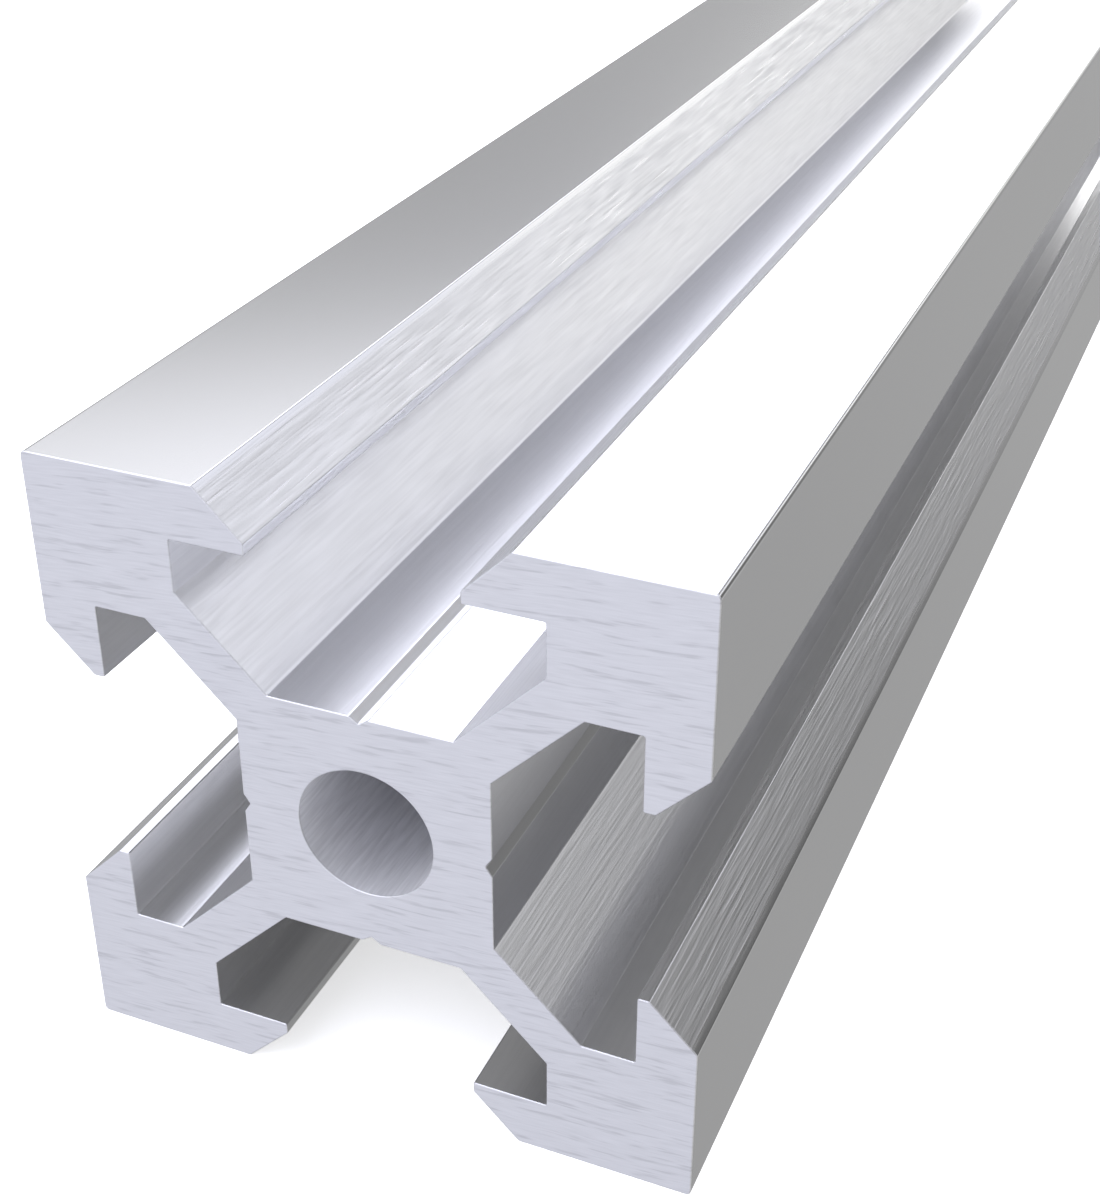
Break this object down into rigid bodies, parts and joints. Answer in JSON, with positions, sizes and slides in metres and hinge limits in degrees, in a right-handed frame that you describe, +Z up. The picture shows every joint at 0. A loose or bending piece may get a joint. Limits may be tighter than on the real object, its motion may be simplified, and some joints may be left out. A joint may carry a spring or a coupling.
{
  "type": "t-slot aluminium extrusion",
  "caption": "Square T-slot aluminium extrusion with bevelled slot mouths in every side, a round bore through its core and square sawn ends.",
  "frame": {"origin": "centre of the bar's footprint on the floor: midway between the cut ends and the side faces, on the lower side face", "axes": "+Y along the bar from the near cut end to the far one, +Z up through the upper slot, +X out of the right-hand slot"},
  "size_m": [0.02, 0.1, 0.02],
  "materials": {
    "aluminium": "satin natural aluminium with fine lengthwise die lines, ends sawn"
  },
  "bodies": {
    "root": {"profile": "aluminium"}
  },
  "joints": []
}
